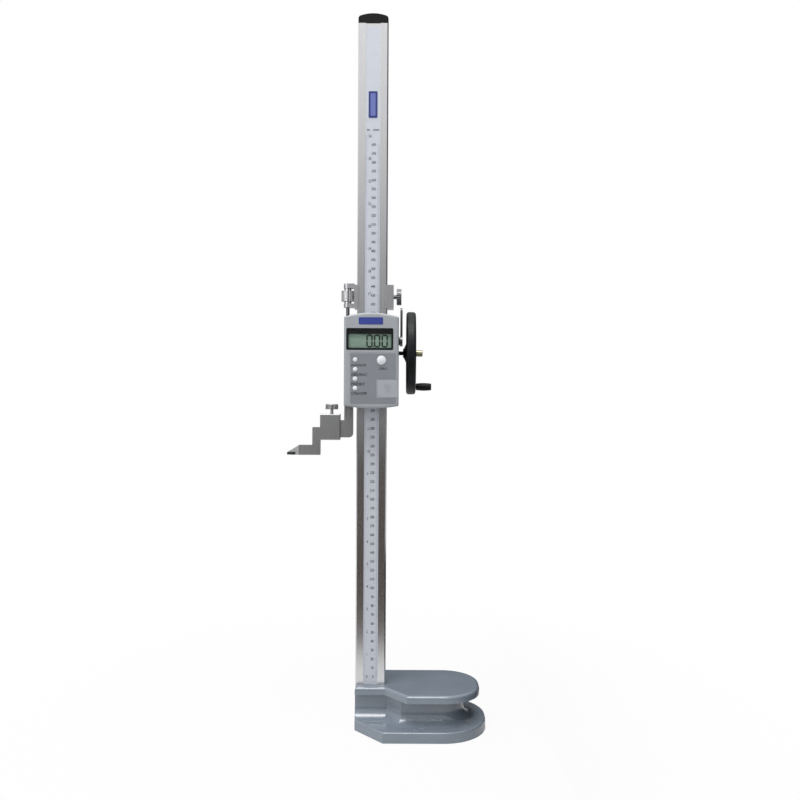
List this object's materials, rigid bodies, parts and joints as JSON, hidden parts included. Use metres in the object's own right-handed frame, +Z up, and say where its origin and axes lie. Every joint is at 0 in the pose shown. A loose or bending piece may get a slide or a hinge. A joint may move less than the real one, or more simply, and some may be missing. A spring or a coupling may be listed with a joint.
{
  "type": "height gauge",
  "caption": "Electronic height gauge: cast base with a finger cove, upright scale beam, slider with display, handwheel, fine-adjustment carriage and cranked scriber.",
  "frame": {"origin": "centre of the beam's axis on the ground underside of the base", "axes": "+Z up along the beam, +X along the base away from the scriber, -Y towards the reader"},
  "size_m": [0.2261, 0.1173, 0.804],
  "materials": {
    "base_enamel": "stove enamel, slightly textured",
    "beam_steel": "ground, satin chrome plated",
    "dark_steel": "blackened",
    "bright_steel": "polished plate",
    "satin_chrome": "satin chrome plated",
    "jaw_steel": "hardened and ground, satin",
    "scale_face": "printed satin anodised",
    "black_plastic": "moulded",
    "gib_bronze": "ground",
    "housing_plastic": "painted satin silver grey",
    "cover_plastic": "moulded satin",
    "window_glass": "clear",
    "lcd_face": "reflective display",
    "board_green": "solder resist",
    "brass": "turned",
    "badge_blue": "enamelled, bare",
    "carbide": "sintered, ground",
    "button_plastic": "moulded"
  },
  "bodies": {
    "base": {"base_casting": "base_enamel", "beam": "beam_steel", "rack": "dark_steel", "scale_strip": "scale_face", "top_cap": "black_plastic", "beam_screws": "dark_steel"},
    "slider": {"slider_frame": "jaw_steel", "gib_strip": "gib_bronze", "gib_screws": "dark_steel", "back_plate": "satin_chrome", "back_plate_screws": "dark_steel", "drive_housing": "satin_chrome", "drive_screws": "dark_steel", "shaft_bushes": "dark_steel", "fine_screw": "dark_steel", "display_housing": "housing_plastic", "housing_back": "black_plastic", "housing_screws": "dark_steel", "lcd_window": "window_glass", "lcd_module": "lcd_face", "circuit_board": "board_green", "sensor_board": "board_green", "battery": "bright_steel", "battery_contact": "brass", "badge_plate": "badge_blue"},
    "handwheel": {"pinion_shaft": "dark_steel", "handwheel": "black_plastic", "crank_pin": "dark_steel"},
    "crank_grip": {"crank_grip": "black_plastic"},
    "wheel_nut": {"wheel_nut": "brass"},
    "carriage": {"carriage": "satin_chrome", "clamp_pad": "brass"},
    "carriage_screw": {"carriage_screw": "bright_steel"},
    "fine_nut": {"fine_nut": "bright_steel"},
    "lock_lever": {"lock_screw": "dark_steel", "lock_lever": "satin_chrome"},
    "scriber_clamp": {"scriber_clamp": "jaw_steel"},
    "clamp_screw": {"clamp_screw": "jaw_steel"},
    "scriber": {"scriber": "jaw_steel", "carbide_tip": "carbide"},
    "battery_cover": {"battery_cover": "cover_plastic"},
    "button_1": {"button_1": "button_plastic"},
    "button_2": {"button_2": "button_plastic"},
    "button_3": {"button_3": "button_plastic"},
    "button_4": {"button_4": "button_plastic"},
    "zero_button": {"zero_button": "button_plastic"}
  },
  "joints": [
    {"name": "slider_travel", "type": "slide", "parent": "base", "child": "slider", "axis": [0, 0, 1], "range_m": [-0.3054, 0.2946]},
    {"name": "handwheel_spin", "type": "hinge", "parent": "slider", "child": "handwheel", "pos_m": [0.044, 0.01585, 0.422], "axis": [1, 0, 0], "continuous": true},
    {"name": "crank_grip_spin", "type": "hinge", "parent": "handwheel", "child": "crank_grip", "pos_m": [0.059, 0.01585, 0.3833], "axis": [1, 0, 0], "continuous": true},
    {"name": "wheel_nut_turn", "type": "hinge", "parent": "handwheel", "child": "wheel_nut", "pos_m": [0.054, 0.01585, 0.422], "axis": [1, 0, 0], "range_deg": [0, 360]},
    {"name": "fine_nut_turn", "type": "hinge", "parent": "carriage", "child": "fine_nut", "pos_m": [-0.0278, 0, 0.485], "axis": [0, 0, 1], "range_deg": [-900, 2160]},
    {"name": "carriage_travel", "type": "slide", "parent": "slider", "child": "carriage", "axis": [0, 0, 1], "range_m": [-0.0025, 0.006]},
    {"name": "carriage_screw_turn", "type": "hinge", "parent": "carriage", "child": "carriage_screw", "pos_m": [0.03, 0, 0.485], "axis": [1, 0, 0], "range_deg": [0, 360]},
    {"name": "lock_lever_turn", "type": "hinge", "parent": "slider", "child": "lock_lever", "pos_m": [0.033, 0, 0.4347], "axis": [1, 0, 0], "range_deg": [-15, 75]},
    {"name": "clamp_slide", "type": "slide", "parent": "slider", "child": "scriber_clamp", "axis": [1, 0, 0], "range_m": [-0.006, 0]},
    {"name": "clamp_screw_turn", "type": "hinge", "parent": "scriber_clamp", "child": "clamp_screw", "pos_m": [-0.0454, 0, 0.36], "axis": [0, 0, 1], "range_deg": [0, 360]},
    {"name": "scriber_slide", "type": "slide", "parent": "scriber_clamp", "child": "scriber", "axis": [1, 0, 0], "range_m": [-0.012, 0]},
    {"name": "battery_cover_slide", "type": "slide", "parent": "slider", "child": "battery_cover", "axis": [1, 0, 0], "range_m": [0, 0.014]},
    {"name": "button_1_press", "type": "slide", "parent": "slider", "child": "button_1", "axis": [0, 1, 0], "range_m": [0, 0.0008], "stiffness_N_per_m": 1500},
    {"name": "button_2_press", "type": "slide", "parent": "slider", "child": "button_2", "axis": [0, 1, 0], "range_m": [0, 0.0008], "stiffness_N_per_m": 1500},
    {"name": "button_3_press", "type": "slide", "parent": "slider", "child": "button_3", "axis": [0, 1, 0], "range_m": [0, 0.0008], "stiffness_N_per_m": 1500},
    {"name": "button_4_press", "type": "slide", "parent": "slider", "child": "button_4", "axis": [0, 1, 0], "range_m": [0, 0.0008], "stiffness_N_per_m": 1500},
    {"name": "zero_button_press", "type": "slide", "parent": "slider", "child": "zero_button", "axis": [0, 1, 0], "range_m": [0, 0.0008], "stiffness_N_per_m": 2000}
  ],
  "couplings": [
    {"joint": "handwheel_spin", "follows": "slider_travel", "rad_per_m": 111.11},
    {"joint": "fine_nut_turn", "follows": "carriage_travel", "rad_per_m": 6283}
  ]
}
